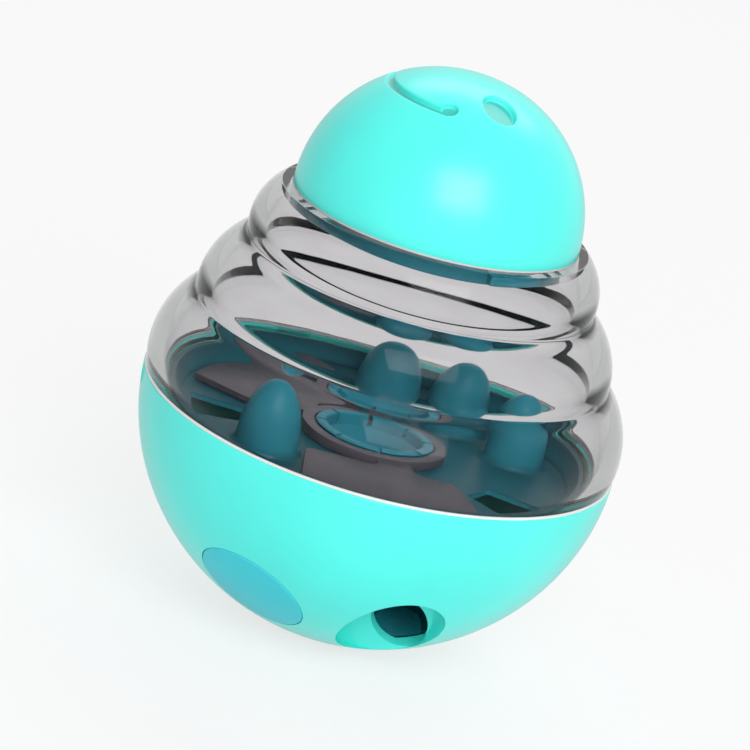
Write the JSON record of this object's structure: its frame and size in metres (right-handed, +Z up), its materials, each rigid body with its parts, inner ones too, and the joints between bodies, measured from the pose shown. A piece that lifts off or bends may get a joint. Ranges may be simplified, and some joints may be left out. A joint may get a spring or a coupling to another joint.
{
  "type": "treat ball",
  "caption": "Round weighted treat dispenser: bowl with outlet pocket and plug, ribbed clear hopper and dome cap on bayonets, slotted tray with a turning gate.",
  "frame": {"origin": "middle of the small flat foot under the bowl, on the surface that the toy stands on", "axes": "+Z up through the cap, -Y towards the picture's camera, +X to its right"},
  "size_m": [0.1104, 0.1104, 0.1343],
  "materials": {
    "turquoise_plastic": "moulded gloss",
    "pale_teal_plastic": "moulded satin gloss",
    "clear_plastic": "clear, faint smoke tint",
    "grey_plastic": "satin",
    "blue_plug_rubber": "soft satin",
    "white_seal": "satin",
    "cast_weight": "as cast",
    "screw_steel": "plated"
  },
  "bodies": {
    "base": {"bowl": "turquoise_plastic", "weight": "cast_weight", "weight_cover": "pale_teal_plastic", "weight_screws": "screw_steel"},
    "plug": {"outlet_plug": "blue_plug_rubber"},
    "tray_body": {"tray": "pale_teal_plastic"},
    "gate": {"gate_plate": "grey_plastic"},
    "seam_ring": {"seam_seal": "white_seal"},
    "hopper": {"shell": "clear_plastic"},
    "cap_ring": {"cap_seal": "white_seal"},
    "cap": {"cap_dome": "turquoise_plastic", "cap_neck": "pale_teal_plastic"}
  },
  "joints": [
    {"name": "plug_pull", "type": "slide", "parent": "base", "child": "plug", "axis": [-0.3268, -0.67, -0.6665], "range_m": [0, 0.014]},
    {"name": "tray_lift", "type": "slide", "parent": "base", "child": "tray_body", "axis": [0, 0, 1], "range_m": [0, 0.06]},
    {"name": "gate_turn", "type": "hinge", "parent": "tray_body", "child": "gate", "pos_m": [0, 0, 0.04733], "axis": [0, 0, 1], "range_deg": [0, 30]},
    {"name": "shell_twist", "type": "hinge", "parent": "tray_body", "child": "seam_ring", "pos_m": [0, 0, 0.05233], "axis": [0, 0, 1], "range_deg": [0, 20]},
    {"name": "shell_lift", "type": "slide", "parent": "seam_ring", "child": "hopper", "axis": [0, 0, 1], "range_m": [0, 0.07]},
    {"name": "cap_twist", "type": "hinge", "parent": "hopper", "child": "cap_ring", "pos_m": [0, 0, 0.10093], "axis": [0, 0, 1], "range_deg": [0, 30]},
    {"name": "cap_lift", "type": "slide", "parent": "cap_ring", "child": "cap", "axis": [0, 0, 1], "range_m": [0, 0.04]}
  ]
}
